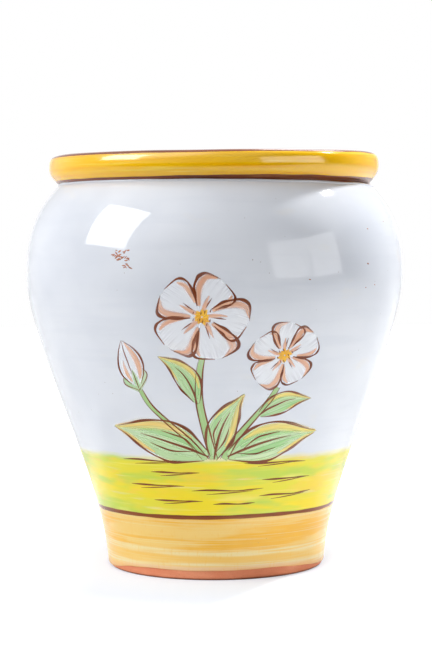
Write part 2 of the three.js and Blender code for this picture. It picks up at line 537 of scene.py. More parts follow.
# Bare terracotta, with painted contact shade along the foot's lowest edge
clay = {
    "colour": "#d98663", "pale": "#e39a78", "dark": "#c0704c", "contactShade": "#6a4034", "roughness": 0.82,
    "cloud": ((28, 28, 10), 51, 4), "paleRun": (0.45, 0.7), "darkRun": (0.3, 0.45), "darkCover": 0.5,
    "grain": ((0.9, 0.9, 0.9), 52, 3), "grainRun": (0.55, 0.75), "grainCover": 0.5, "grainDull": 0.14,
    "grit": (1.6, 0.28, 0.4, 53), "gritCover": 0.8, "gritRise": 0.7, "depth": 0.12,
    "contactShadeDrift": 1.6, "contactShadeHeights": (0.5, 1.8), "contactShadeCover": 0.85,
}


def clayFinish():
    finish = newFinish("bare terracotta", IOR=1.4)
    cloud = finish.noise(*clay["cloud"])
    grain = finish.noise(*clay["grain"])
    colour = finish.mix(tint(clay["colour"]), tint(clay["pale"]), finish.ramp(cloud, *clay["paleRun"]))
    dark = 1 - finish.ramp(cloud, *clay["darkRun"])
    colour = finish.mix(colour, tint(clay["dark"]), dark * clay["darkCover"])
    coarse = finish.ramp(grain, *clay["grainRun"])
    colour = finish.mix(colour, tint(clay["dark"]), coarse * clay["grainCover"])
    grit = finish.spots(*clay["grit"])
    colour = finish.mix(colour, tint(clay["pale"]), grit * clay["gritCover"])
    # painted contact shade: the clay is darkened up to about 2 mm above the floor, its top edge drifting
    # with the clouds
    height = finish.height() + (cloud - 0.5) * clay["contactShadeDrift"]
    paintedContactShade = 1 - finish.ramp(height, *clay["contactShadeHeights"])
    colour = finish.mix(colour, tint(clay["contactShade"]), paintedContactShade * clay["contactShadeCover"])
    finish.feed(finish.shader["Base Color"], colour)
    finish.feed(finish.shader["Roughness"], clay["roughness"] + clay["grainDull"] * grain)
    finish.feed(finish.shader["Normal"], finish.bump(grain + grit * clay["gritRise"], clay["depth"]))
    return finish


white = whiteFinish()
line = lineFinish()
terracotta = clayFinish()
print("finishes ready")

rounding = {"points": 5, "most": 0.45}  # points on a soft corner, and the most of a side that it takes


# Clay: a closed section with soft corners, each a radius, a height and a softness, as points a step apart
def rounded(corners, step):
    corners = [np.array(corner, float) for corner in corners]
    points = []
    for i, corner in enumerate(corners):
        middle = corner[:2]
        ways = [other[:2] - middle for other in (corners[i - 1], corners[(i + 1) % len(corners)])]
        sides = [np.linalg.norm(way) for way in ways]
        soft = min(corner[2], *(side * rounding["most"] for side in sides))
        start, end = (middle + soft * way / side for way, side in zip(ways, sides))
        points.extend(bezier([start, middle, end], np.linspace(0, 1, rounding["points"])[:, None]))
    dense = []
    for start, end in zip(points, points[1:] + points[:1]):
        count = max(1, round(np.linalg.norm(end - start) / step))
        dense.extend(start + (end - start) * i / count for i in range(count))
    return np.array(dense)


def clayPiece(name, node, section, angle, ridges):
    way = np.roll(section, -1, axis=0) - np.roll(section, 1, axis=0)
    way /= np.maximum(np.linalg.norm(way, axis=1), tiny)[:, None]
    radius = section[:, :1] + 0 * angle
    height = section[:, 1:] + 0 * angle
    rise = ridges(radius, height, angle)
    radius = radius + way[:, 1:] * rise
    height = height - way[:, :1] * rise
    piece = ringPiece(name, radius, height, angle, {}, terracotta)
    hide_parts(node)


base = {
    "drain": 9, "hollow": 59.37, "ring": 72.37, "bevel": (73.97, 1.6), "seam": (74.73, 10), "recess": 2.5,
    "holeSoft": 1.6, "ringSoft": 1.0, "seamSoft": 0.2, "step": 0.8, "turns": 216,
    "pitch": 3.4, "ridge": 0.1, "ridgeFrom": (11, 15), "ridgeTo": (54, 57), "ridgeBelow": (2.6, 4),
    "floorPitch": 9, "floorRidge": 0.25, "floorFrom": (12, 18), "floorTo": (38, 47), "floorAbove": (8, 9.5),
    "worn": 0.12, "wornTurns": (5, 3), "wornPhase": 0.3, "wornFrom": (70, 73), "wornAbove": (0.4, 2),
}


# turning marks under the foot, throwing marks on the floor and a worn foot ring
def baseRidges(radius, height, angle):
    under = np.sin(fullTurn * radius / base["pitch"] - angle) * base["ridge"]
    under = under * between(radius, *base["ridgeFrom"]) * (1 - between(radius, *base["ridgeTo"]))
    under = under * (1 - between(height, *base["ridgeBelow"]))
    floor = np.sin(fullTurn * radius / base["floorPitch"] - angle) * base["floorRidge"]
    floor = floor * between(radius, *base["floorFrom"]) * (1 - between(radius, *base["floorTo"]))
    floor = floor * between(height, *base["floorAbove"])
    quick, slow = base["wornTurns"]
    worn = base["worn"] * np.sin(quick * angle + base["wornPhase"]) * np.sin(slow * angle)
    worn = worn * between(radius, *base["wornFrom"]) * between(height, *base["wornAbove"])
    return under + floor + worn


baseSection = rounded([
    (base["drain"], base["recess"], base["holeSoft"]),
    (base["hollow"], base["recess"], base["ringSoft"]),
    (base["hollow"], 0, base["ringSoft"]),
    (base["ring"], 0, base["ringSoft"]),
    (*base["bevel"], base["ringSoft"]),
    (*base["seam"], base["seamSoft"]),
    (base["drain"], base["seam"][1], base["holeSoft"]),
], base["step"])
clayPiece("turned_base", "base_slab", baseSection, turnsOf(base["turns"]), baseRidges)

wall = {
    "under": 0.9, "inside": 8.9, "floor": 10, "fillet": 14, "outRows": 60, "inRows": 190, "filletRows": 14,
    "outClear": 0.2, "inClear": 0.4, "turns": 216, "pitch": 8.5, "finePitch": 3.9, "fineShare": 0.4,
    "ridge": 0.38, "ridgeDepths": (3, 6), "ridgeFrom": (18, 34), "ridgeTo": (247, 257),
}


# throwing marks inside the wall
def wallRidges(radius, height, angle):
    outer = np.interp(height, bodySkin.line[:, 1], bodySkin.line[:, 0])
    inner = between(outer - radius, *wall["ridgeDepths"])
    throw = np.sin(fullTurn * height / wall["pitch"] - angle)
    throw = throw + wall["fineShare"] * np.sin(fullTurn * height / wall["finePitch"] + 2 * angle)
    ridges = wall["ridge"] * throw * inner
    return ridges * between(height, *wall["ridgeFrom"]) * (1 - between(height, *wall["ridgeTo"]))


seamLength = bodySkin.lengthAt(wall["floor"])
filletLength = bodySkin.lengthAt(wall["floor"] + wall["fillet"])
outRun = np.linspace(seamLength, creaseLength, wall["outRows"])
inRun = np.linspace(creaseLength, filletLength, wall["inRows"])
outSide = np.stack(bodySkin.at(outRun, -wall["under"]), axis=1)
inSide = np.stack(bodySkin.at(inRun, -wall["inside"]), axis=1)
neckRadius, neckHeight = outline["neck"]
outNeck = [(neckRadius - wall["under"], neckHeight)]
inNeck = [(neckRadius - wall["inside"], neckHeight)]
# the wall ends level at the neck, so the runs stop short of it
outSide = outSide[:-1][outSide[:-1, 1] < neckHeight - wall["outClear"]]
inSide = inSide[1:][inSide[1:, 1] < neckHeight - wall["inClear"]]
bend = np.linspace(0, math.pi / 2, wall["filletRows"])[1:]
filletMiddle = inSide[-1, 0] - wall["fillet"]
fillet = np.stack([
    filletMiddle + wall["fillet"] * np.cos(bend),
    wall["floor"] + wall["fillet"] * (1 - np.sin(bend)),
], axis=1)
wallSection = np.concatenate([outSide, outNeck, inNeck, inSide, fillet])
clayPiece("thrown_wall", "pot_wall", wallSection, turnsOf(wall["turns"]), wallRidges)

roll = {"start": 0.4, "rows": 60, "clear": 0.1, "turns": 216, "wobble": 0.05, "wobbles": 9}


def rollRidges(radius, height, angle):
    return roll["wobble"] * np.sin(roll["wobbles"] * angle)


rollRun = np.linspace(roll["start"], lipEndLength, roll["rows"])
rollSide = np.stack(rimSkin.at(rollRun, -wall["under"]), axis=1)
rollSide = rollSide[rollSide[:, 1] > neckHeight + roll["clear"]]
rollSection = np.concatenate([outNeck, rollSide, inNeck])
clayPiece("rolled_rim", "rim_roll", rollSection, turnsOf(roll["turns"]), rollRidges)
print("clay turned")

# Coats, from the foot up; a drift is the seed, size, slowest wave and limit of a brushed edge's waves
footLine = {
    "height": 43.2, "tilt": 0.66, "drift": (7, 0.35, 2, 9),
    "width": 3.2, "swell": (8, 0.22, 2, 40), "rows": 6,
}


def footLineHeight(angle):
    return footLine["height"] + footLine["tilt"] * np.sin(angle) + wander(angle, *footLine["drift"])


# the ochre runs lower at the pot's sides than at its front, and lowest at the left
def ochreLow(angle):
    fromFront = np.degrees(np.abs((angle + math.pi) % fullTurn - math.pi))
    aside = between(fromFront, *ochre["sides"]) * (1 - between(fromFront, *ochre["back"]))
    drop = ochre["sideDrop"] - ochre["leftDrop"] * np.sin(angle)
    return ochre["lowHeight"] - drop * aside + wander(angle, *ochre["drift"])


angle = turnsOf(ochre["turns"])
low = bodySkin.lengthAt(ochreLow(angle))
high = bodySkin.lengthAt(footLineHeight(angle) + ochre["overLine"])
coatPiece("ochre_coat", "foot_band_glaze", "ochre_glaze", bodySkin, angle, low, high,
          ochreFinish(), **ochre["coat"])

angle = turnsOf(meadow["turns"])
low = bodySkin.lengthAt(footLineHeight(angle) - meadow["underLine"])
high = bodySkin.lengthAt(meadow["highHeight"] + 0 * angle)
coatPiece("meadow_coat", "meadow_band_glaze", "meadow_glaze", bodySkin, angle, low, high,
          meadowFinish(), **meadow["coat"])

angle = turnsOf(brownLine["turns"])
middle = bodySkin.lengthAt(footLineHeight(angle))
half = footLine["width"] / 2 * (1 + wander(angle, *footLine["swell"]))
coatPiece("foot_brush_line", "foot_line", "brown_line", bodySkin, angle, middle - half, middle + half,
          line, footLine["rows"], **brownLine["coat"])

angle = turnsOf(whiteGlaze["turns"])
low = bodySkin.lengthAt(whiteGlaze["lowHeight"] + 0 * angle)
high = creaseLength - whiteGlaze["creaseGap"] + 0 * angle
coatPiece("white_coat", "body_glaze", "white_glaze", bodySkin, angle, low, high,
          white, **whiteGlaze["coat"])

underLine = {
    "start": 0.6, "startTilt": 1.5, "startDrift": (14, 0.7, 2, 24),
    "width": 3.5, "endTilt": 0.35, "endDrift": (9, 0.6, 2, 26), "rows": 12,
}
angle = turnsOf(brownLine["turns"])
tilt = np.sin(angle)
crease = neckSkin.ends[0]
low = crease - underLine["start"] - underLine["startTilt"] * tilt + wander(angle, *underLine["startDrift"])
high = crease + underLine["width"] + underLine["endTilt"] * tilt + wander(angle, *underLine["endDrift"])
coatPiece("under_rim_brush_line", "rim_under_line", "brown_line", neckSkin, angle, low, high,
          line, underLine["rows"], **brownLine["coat"])

# white glaze that ran into a bead along the brown line
bead = {
    "width": 1.9, "over": 0.1, "drift": (15, 0.25, 2, 30),
    "coat": {"rows": 8, "proud": 0.6, "edge": 0.7},
}
high = low + bead["over"]
low = high - bead["width"] - wander(angle, *bead["drift"])
coatPiece("crease_bead", None, "white_glaze", neckSkin, angle, low, high, white, **bead["coat"])

angle = turnsOf(rim["turns"])
low = rim["lowLength"] + 0 * angle
high = crestLength - rim["crestGap"] + 0 * angle
coatPiece("yellow_rim_coat", "rim_glaze", "yellow_glaze", rimSkin, angle, low, high,
          rimFinish(), **rim["coat"])

crestLine = {
    "back": 7.7, "backTilt": 0.6, "backDrift": (10, 0.5, 2, 30),
    "past": 0.8, "pastDrift": (11, 0.5, 2, 30), "rows": 14,
}
angle = turnsOf(brownLine["turns"])
low = crestLength - crestLine["back"] + crestLine["backTilt"] * np.sin(angle)
low = low + wander(angle, *crestLine["backDrift"])
high = crestLength + crestLine["past"] + wander(angle, *crestLine["pastDrift"])
coatPiece("crest_brush_line", "rim_crest_line", "brown_line", rimSkin, angle, low, high,
          line, crestLine["rows"], **brownLine["coat"])

lip = {
    "turns": 288, "back": 1.2, "endHeight": 265.8, "drift": (12, 2.2, 2, 20),
    "coat": {"rows": 36, "edge": 1.2},
}
angle = turnsOf(lip["turns"])
low = crestLength - lip["back"] + 0 * angle
high = lipLength + outline["lip"][1] - lip["endHeight"] + wander(angle, *lip["drift"])
coatPiece("lip_coat", "lip_glaze", "white_glaze", rimSkin, angle, low, high, white, **lip["coat"])
print("coats laid")

# Painting
ribbon = {
    "leastHalf": 0.12, "stackStep": 0.0015, "stackMost": 0.03, "edgeLift": -0.04, "backLift": -0.3,
    "wideFrom": 2, "wide": [-1, -0.9, -0.6, -0.3, 0, 0.3, 0.6, 0.9, 1], "slim": [-1, -0.6, 0, 0.6, 1],
    "sheetFill": 0.92, "capPlace": 0.999, "capStep": 0.0005, "sharpFrom": 50,
}
strokeValues = ("strokeSide", "strokeRun", "strokeShare", "strokeAcross", "strokeDraw")


class Brush:
    # strokes of one colour: closed thin ribbons that lie on the glaze
    def __init__(self, lift):
        self.lift = lift
        self.points = []
        self.rows = []
        self.values = {key: [] for key in strokeValues}
        self.dice = random.Random(round(lift / mm))  # each brush has draws of its own

    # marks are across, height and half width; place turns them into places on the pot's front
    def stroke(self, marks, place=None, step=1.0):
        run = smoothLine(np.array(marks, float), step)
        spine = run[:, :2]
        half = np.maximum(run[:, 2], ribbon["leastHalf"])
        way = np.gradient(spine, axis=0)
        way /= np.maximum(np.linalg.norm(way, axis=1), tiny)[:, None]
        left = np.stack([-way[:, 1], way[:, 0]], axis=1)
        along = np.concatenate([[0], np.cumsum(np.linalg.norm(np.diff(spine, axis=0), axis=1))])
        columns = np.array(ribbon["wide"] if half.max() > ribbon["wideFrom"] else ribbon["slim"])
        stacked = ribbon["stackStep"] * len(self.rows) % ribbon["stackMost"]
        lift = np.full(len(columns), self.lift + stacked)
        lift[[0, -1]] = ribbon["edgeLift"]
        columns = np.append(columns, 0)  # the ribbon's back, sunk in the glaze
        lift = np.append(lift, ribbon["backLift"])
        side = half[:, None] * columns
        flat = (spine[:, None] + left[:, None] * side[:, :, None]).reshape(-1, 2)
        if place:
            flat = place(flat)
        length = bodySkin.lengthAt(flat[:, 1])
        radius, height = bodySkin.at(length, 0)
        turn = flat[:, 0] / radius
        rise = np.tile(lift, len(spine)) + sway(turn, height)
        radius, height = bodySkin.at(length, rise)
        first = sum(len(part) for part in self.points)
        count = len(columns)
        self.points.append(np.stack([radius * np.sin(turn), -radius * np.cos(turn), height], axis=1))
        self.rows.append((first, len(spine), count))
        self.values["strokeSide"].append(side.ravel())
        self.values["strokeRun"].append(np.repeat(along, count))
        self.values["strokeShare"].append(np.repeat(along / along[-1], count))
        self.values["strokeAcross"].append(np.tile(columns, len(spine)))
        self.values["strokeDraw"].append(np.full(len(spine) * count, self.dice.random()))

    # each stroke has a strip of its own on the unwrapped sheet
    def piece(self, name, finish, slot):
        faces = []
        corners = []
        tall = ribbon["sheetFill"] / len(self.rows)
        for number, (first, length, count) in enumerate(self.rows):
            bottom = number / len(self.rows)
            for i in range(length - 1):
                for j in range(count):
                    k = (j + 1) % count
                    near = first + i * count
                    far = near + count
                    faces.append([near + j, near + k, far + k, far + j][::-1])
                    box = [(i, j), (i, j + 1), (i + 1, j + 1), (i + 1, j)][::-1]
                    corners.extend((u / length, bottom + tall * v / count) for u, v in box)
            for start, order in ((first, 1), (first + (length - 1) * count, -1)):
                faces.append(list(range(start, start + count))[::order])
                cap = ribbon["capPlace"] - ribbon["capStep"] * (order > 0)
                corners.extend((cap, bottom + tall * j / count) for j in range(count))
        values = {key: np.concatenate(parts) for key, parts in self.values.items()}
        made = meshPiece(name, np.concatenate(self.points), faces, values, corners, finish)
        made.data.set_sharp_from_angle(angle=math.radians(ribbon["sharpFrom"]))
        # thin paint lets the glaze under it take the full light, straight and from around
        made.visible_shadow = False
        made.visible_diffuse = False


# a smooth line through marks, as points a step apart
def smoothLine(marks, step):
    ends = np.concatenate([[2 * marks[0] - marks[1]], marks, [2 * marks[-1] - marks[-2]]])
    parts = []
    for i in range(1, len(ends) - 2):
        before, start, end, after = ends[i - 1:i + 3]
        count = max(2, math.ceil(np.linalg.norm((end - start)[:2]) / step))
        t = np.arange(count)[:, None] / count
        bowed = 2 * before - 5 * start + 4 * end - after
        curled = 3 * start - before - 3 * end + after
        parts.append(0.5 * (2 * start + (end - before) * t + bowed * t**2 + curled * t**3))
    return np.concatenate(parts + [marks[-1:]])


# a brush for each colour, with how high its strokes lie over the glaze
petalBrush = Brush(0.03)
stemBrush = Brush(0.06)
leafBrush = Brush(0.09)
leafToneBrush = Brush(0.12)
goldBrush = Brush(0.15)
blushBrush = Brush(0.18)
heartBrush = Brush(0.21)
outlineBrush = Brush(0.24)
grassBrush = Brush(0.10)
speckBrush = Brush(0.05)
dice = random.Random(21)  # seeded, so that each run paints the same
shake = (-0.3, 0.3)  # of the hand that draws an outline


# a line beside a leaf's or petal's middle, part of its way along, with its own half widths
def beside(spine, side, start, end, widths, draw=None):
    count = len(widths)
    share = np.linspace(start, end, count)
    grid = np.linspace(0, 1, len(spine))
    columns = [np.interp(share, grid, spine[:, i]) for i in range(3)]
    way = np.stack([np.gradient(columns[0]), np.gradient(columns[1])], axis=1)
    way /= np.linalg.norm(way, axis=1)[:, None]
    reach = columns[2] * side
    x = columns[0] - way[:, 1] * reach
    z = columns[1] + way[:, 0] * reach
    if draw:
        x = x + [draw.uniform(*shake) for i in range(count)]
        z = z + [draw.uniform(*shake) for i in range(count)]
    return np.stack([x, z, widths], axis=1)


# Leaves: a pale wash, broad strokes along it, gold on both edges, brown edges and veins
leafLook = {
    "form": [0.16, 0.50, 0.82, 0.98, 1.0, 0.90, 0.70, 0.44, 0.18, 0.0], "spineStep": 1.0,
    "toneSides": [-0.72, -0.36, 0.02, 0.38, 0.70], "toneForm": [0.35, 0.8, 1.0, 0.95, 0.6, 0.15],
    "toneStart": (0.02, 0.16), "toneEnd": (0.72, 0.95), "toneHalf": (0.18, 0.27), "toneStray": (-0.08, 0.08),
    # strokes beside the middle: side, start, end and half widths
    "gold": [
        (0.74, 0.2, 0.99, [0.08, 0.28, 0.38, 0.4, 0.3, 0.1]),
        (-0.84, 0.5, 0.96, [0.06, 0.18, 0.2, 0.06]),
    ],
    "bold": 1.35, "boldHalf": 9, "edgeForm": [0.2, 0.55, 0.85, 0.45, 0.6, 0.95, 0.5, 0.12], "backBold": 1.05,
    "edge": (1.03, 0.03, 1.0), "backEdge": (-1.02, 0.0, 0.97),
    "rib": (0.02, 0.0, 0.70), "ribForm": [0.4, 0.8, 0.7, 0.5, 0.12],
    "veins": [(0.42, 0.20, 0.58), (-0.44, 0.14, 0.50)], "veinForm": [0.1, 0.5, 0.45, 0.1],
    "veinRoot": 0.7, "veinHalf": 8, "step": 0.7,
}


def leaf(root, tip, bow, half, goldSide):
    root = np.array(root, float)
    run = np.array(tip, float) - root
    square = np.array([-run[1], run[0]])
    share = np.linspace(0, 1, len(leafLook["form"]))
    middle = root + share[:, None] * run + np.sin(share * math.pi)[:, None] * square * bow
    marks = np.column_stack([middle, half * np.array(leafLook["form"])])
    spine = smoothLine(marks, leafLook["spineStep"])
    leafBrush.stroke(marks)
    for side in leafLook["toneSides"]:
        start = dice.uniform(*leafLook["toneStart"])
        end = dice.uniform(*leafLook["toneEnd"])
        widths = half * dice.uniform(*leafLook["toneHalf"]) * np.array(leafLook["toneForm"])
        stray = dice.uniform(*leafLook["toneStray"])
        leafToneBrush.stroke(beside(spine, side + stray, start, end, widths))
    for side, start, end, form in leafLook["gold"]:
        goldBrush.stroke(beside(spine, side * goldSide, start, end, half * np.array(form)))
    bold = leafLook["bold"] * min(1.0, half / leafLook["boldHalf"])
    edge = bold * np.array(leafLook["edgeForm"])
    backEdge = edge[::-1] * leafLook["backBold"]
    rib = bold * np.array(leafLook["ribForm"])
    for key, widths in (("edge", edge), ("backEdge", backEdge), ("rib", rib)):
        outlineBrush.stroke(beside(spine, *leafLook[key], widths, dice), step=leafLook["step"])
    for side, start, end in leafLook["veins"]:
        vein = beside(spine, side, start, end, bold * np.array(leafLook["veinForm"]), dice)
        vein[0, :2] = spine[round(start * leafLook["veinRoot"] * len(spine)), :2]
        if half > leafLook["veinHalf"]:
            outlineBrush.stroke(vein, step=leafLook["step"])


# Blossoms: white petals edged with peach, golden hearts with brown dashes
blossomLook = {
    "along": [0.12, 0.26, 0.44, 0.6, 0.76, 0.89, 0.97, 1.0],
    "form": [0.12, 0.24, 0.40, 0.52, 0.56, 0.46, 0.26, 0.02], "spineStep": 0.7,
    "turnStray": (-5, 5), "long": (0.92, 1.06), "broad": 1.5, "bend": (-0.27, 0.27),
    "blushes": [
        (0.74, 0.1, 0.96, [0.05, 0.1, 0.13, 0.14, 0.12, 0.03]),
        (-0.80, 0.2, 0.80, [0.04, 0.08, 0.10, 0.03]),
        (0.1, 0.0, 0.46, [0.06, 0.09, 0.06, 0.02]),
    ],
    "firm": 1.35, "firmReach": 24, "edgeForm": [0.2, 0.5, 0.8, 0.5, 0.65, 0.95, 0.6, 0.12], "backFirm": 0.9,
    "edge": (1.0, 0.08, 0.99), "backEdge": (-1.0, 0.16, 0.99),
    "fold": (-0.1, 0.14, 0.44), "foldForm": [0.2, 0.45, 0.1], "step": 0.6,
    # the heart: dabs out from the middle, then short dashes over them
    "heart": 0.2, "dabs": 11, "dabStray": (-0.2, 0.2), "dabFar": (0.6, 1.0), "dabStep": 0.5,
    "dab": [(0.1, 0.2), (0.6, 0.34)], "dabEnd": (1.2, 0.4),
    "dashes": 9, "dashStray": (-0.3, 0.3), "dashFar": (0.35, 1.15), "dashTilt": (-0.4, 0.4), "dashStep": 0.4,
    "dash": [(-0.4, -1.2, 0.14), (0, 0, 0.5), (0.6, 1.3, 0.14)],
}


def blossom(middle, reach, petals, turn, squeeze, lean):
    spin = Matrix.Rotation(math.radians(lean), 2)
    flatten = np.array(spin) @ np.diag([1.0, squeeze])
    size = reach / blossomLook["firmReach"]
    step = blossomLook["step"]

    def place(flat):
        return flat @ flatten.T + np.array(middle)

    for i in range(petals):
        way = math.radians(turn + 360 * i / petals + dice.uniform(*blossomLook["turnStray"]))
        long = reach * dice.uniform(*blossomLook["long"])
        broad = long * blossomLook["broad"] * math.sin(math.pi / petals)
        bend = way + dice.uniform(*blossomLook["bend"]) * np.array(blossomLook["along"])
        along = long * np.array(blossomLook["along"])
        widths = broad * np.array(blossomLook["form"])
        marks = np.column_stack([along * np.cos(bend), along * np.sin(bend), widths])
        spine = smoothLine(marks, blossomLook["spineStep"])
        petalBrush.stroke(marks, place)
        for side, start, end, form in blossomLook["blushes"]:
            blushBrush.stroke(beside(spine, side, start, end, broad * np.array(form)), place)
        firm = blossomLook["firm"] * size * np.array(blossomLook["edgeForm"])
        backFirm = firm[::-1] * blossomLook["backFirm"]
        fold = size * np.array(blossomLook["foldForm"])
        outlineBrush.stroke(beside(spine, *blossomLook["edge"], firm, dice), place, step)
        outlineBrush.stroke(beside(spine, *blossomLook["backEdge"], backFirm, dice)[::-1], place, step)
        outlineBrush.stroke(beside(spine, *blossomLook["fold"], fold, dice), place, step)
    ring = reach * blossomLook["heart"]
    for i in range(blossomLook["dabs"]):
        way = fullTurn * i / blossomLook["dabs"] + dice.uniform(*blossomLook["dabStray"])
        far = ring * dice.uniform(*blossomLook["dabFar"])
        x = far * math.cos(way)
        z = far * math.sin(way)
        dab = [(x * out, z * out, ring * half) for out, half in blossomLook["dab"]]
        out, half = blossomLook["dabEnd"]
        heartBrush.stroke(dab + [(x * out, z * out, half)], place, blossomLook["dabStep"])
    for i in range(blossomLook["dashes"]):
        way = fullTurn * i / blossomLook["dashes"] + dice.uniform(*blossomLook["dashStray"])
        far = ring * dice.uniform(*blossomLook["dashFar"])
        x = far * math.cos(way)
        z = far * math.sin(way)
        tilt = dice.uniform(*blossomLook["dashTilt"])
        dash = [(x + aside * tilt, z + up, half) for aside, up, half in blossomLook["dash"]]
        outlineBrush.stroke(dash, place, blossomLook["dashStep"])


# A bud: one closed petal in three sepals
budLook = {
    "along": [0.0, 0.2, 0.45, 0.7, 0.9, 1.0], "form": [0.3, 0.82, 1.0, 0.72, 0.3, 0.02], "spineStep": 0.7,
    "blushes": [
        (-0.62, 0.1, 0.92, [0.1, 0.3, 0.34, 0.24, 0.05]),
        (0.5, 0.1, 0.6, [0.08, 0.2, 0.16, 0.03]),
    ],
    "edges": [
        (1.0, 0.05, 1.0, [0.25, 0.65, 0.8, 0.55, 0.15]),
        (-1.0, 0.0, 0.98, [0.2, 0.55, 0.85, 0.65, 0.15]),
        (0.15, 0.25, 0.98, [0.12, 0.45, 0.5, 0.12]),
    ],
    "step": 0.6, "sepalBack": 0.12, "sepalReach": 0.36, "sideShort": 0.06, "sepalSpread": 0.85,
    "sepalMiddle": 0.55, "sepalBulge": 0.28, "sepalForm": (0.2, 0.28), "sepalEnd": 0.1,
    "sepalEdgeOut": 0.2, "sepalEdge": (0.2, 0.5, 0.12),
}


def bud(root, tip, half):
    root = np.array(root, float)
    run = np.array(tip, float) - root
    square = np.array([-run[1], run[0]]) / np.linalg.norm(run)
    share = np.array(budLook["along"])
    marks = np.column_stack([root + share[:, None] * run, half * np.array(budLook["form"])])
    spine = smoothLine(marks, budLook["spineStep"])
    step = budLook["step"]
    petalBrush.stroke(marks)
    for side, start, end, form in budLook["blushes"]:
        blushBrush.stroke(beside(spine, side, start, end, half * np.array(form)))
    for side, start, end, widths in budLook["edges"]:
        outlineBrush.stroke(beside(spine, side, start, end, widths, dice), step=step)
    near, wide = (half * share for share in budLook["sepalForm"])
    edgeNear, edgeWide, edgeEnd = budLook["sepalEdge"]
    for side in (-1, 0, 1):
        out = square * half * side
        start = root - run * budLook["sepalBack"]
        reach = budLook["sepalReach"] - budLook["sideShort"] * abs(side)
        end = root + run * reach + out * budLook["sepalSpread"]
        middle = start + (end - start) * budLook["sepalMiddle"]
        bulge = middle + out * budLook["sepalBulge"]
        edge = bulge + out * budLook["sepalEdgeOut"]
        leafToneBrush.stroke([(*start, near), (*bulge, wide), (*end, budLook["sepalEnd"])])
        outlineBrush.stroke([(*start, edgeNear), (*edge, edgeWide), (*end, edgeEnd)], step=step)


stemEdges = [(1.0, [0.3, 0.7, 0.55, 0.65, 0.2]), (-1.0, [0.2, 0.45, 0.6, 0.3, 0.15])]
stemStep = 0.7


def stem(marks):
    stemBrush.stroke(marks)
    for share, widths in stemEdges:
        side = [(x + half * share, z, width) for (x, z, half), width in zip(marks, widths)]
        outlineBrush.stroke(side, step=stemStep)


# the spray: stems fan out from the meadow, each with its flower
spray = {
    # across, height and half width along each stem
    "stems": [
        [(-1, 82, 2.6), (-6, 101, 2.5), (-10, 121, 2.3), (-10, 138, 2.1), (-8, 150, 1.9)],
        [(5, 82, 2.5), (13, 96, 2.4), (25, 110, 2.2), (35, 121, 2.0), (41, 130, 1.8)],
        [(-6, 82, 2.3), (-17, 95, 2.2), (-31, 107, 2.0), (-43, 118, 1.8), (-50, 129, 1.6)],
    ],
    # root, tip, bow, half width and side of the broader gold
    "leaves": [
        ((-4, 84), (-72, 103), -0.04, 12.5, -1),
        ((7, 84), (72, 99), 0.05, 12.0, 1),
        ((-1, 82), (19, 126), 0.08, 9.0, -1),
        ((-11, 119), (-37, 150), -0.14, 7.0, -1),
        ((28, 111), (66, 121), 0.10, 6.5, 1),
    ],
    # middle, reach, petals, turn, squeeze and lean
    "blossoms": [((45, 150), 25, 5, 62, 0.82, 28), ((-8, 175), 30, 5, 88, 0.92, -12)],
    # root, tip and half width
    "buds": [((-51, 131), (-62, 160), 9.0)],
}
for marks in spray["stems"]:
    stem(marks)
for marks in spray["leaves"]:
    leaf(*marks)
for marks in spray["blossoms"]:
    blossom(*marks)
for marks in spray["buds"]:
    bud(*marks)

# grass on the meadow, in flat dashes of the brush
grass = {
    # start, height and length of each dash
    "dashes": [
        (-66, 80.5, 50), (18, 79.5, 46), (-44, 73, 34), (-60, 64, 40), (-16, 61, 48), (30, 68, 38),
        (-42, 54, 34), (28, 57, 42), (-2, 52, 28),
    ],
    "lift": (-1.4, 1.4),
    # share of the length, share of the lift and half width
    "form": [(0, 0, 0.12), (0.25, 0.5, 0.8), (0.6, 0, 0.5), (0.8, 0.4, 0.72), (1, 1, 0.12)],
    # share of the length, rise and half width of the second touch under a long dash
    "tail": [(0.2, -2.4, 0.12), (0.5, -1.4, 0.5), (0.85, -0.3, 0.12)], "tailLength": 28,
}
for x, z, length in grass["dashes"]:
    lift = dice.uniform(*grass["lift"])
    grassBrush.stroke([(x + length * along, z + lift * up, half) for along, up, half in grass["form"]])
    if length > grass["tailLength"]:
        grassBrush.stroke([(x + length * along, z + up, half) for along, up, half in grass["tail"]])

# rusty specks in the glaze, beside the left highlight and scattered on the right
specks = {
    # count, middle and spread of a cluster and of its trail
    "groups": [(20, (-61.5, 213.5), (3.2, 1.7)), (9, (-56.8, 207.8), (1.0, 2.2))],
    "half": (0.36, 0.85), "turn": (-0.9, 0.9), "long": (1.4, 3.2), "tip": 0.1, "step": 0.4,
    # across, height and half width of each stray
    "strays": [
        (114.7, 230, 0.5), (139.1, 235.1, 0.45), (112.9, 207.4, 0.7), (120.8, 193.6, 0.45),
        (62.3, 197.8, 0.5), (110.5, 192, 0.4),
    ],
    "strayLong": 1.6, "strayRise": 0.5, "strayFall": 0.4,
}
tip = specks["tip"]
for count, middle, spread in specks["groups"]:
    for i in range(count):
        x = dice.gauss(middle[0], spread[0])
        z = dice.gauss(middle[1], spread[1])
        half = dice.uniform(*specks["half"])
        way = dice.uniform(*specks["turn"])
        long = half * dice.uniform(*specks["long"])
        across = long * math.cos(way)
        up = long * math.sin(way)
        speckBrush.stroke([(x - across, z - up, tip), (x, z, half), (x + across, z + up, tip)],
                          step=specks["step"])
for x, z, half in specks["strays"]:
    across = half * specks["strayLong"]
    start = (x - across, z + half * specks["strayRise"], tip)
    end = (x + across, z - half * specks["strayFall"], tip)
    speckBrush.stroke([start, (x, z, half), end], step=specks["step"])

paint = {
    "hairLength": 30, "hairRun": (0.5, 0.75), "hairCover": 0.6,
    "patch": ((16, 16, 16), 61, 2), "patchRun": (0.45, 0.7), "patchCover": 0.5,
    "tornRun": (0.46, 0.62), "tornFrom": (0.35, 1.0), "endRun": (0.0, 0.025), "roughness": 0.08,
}


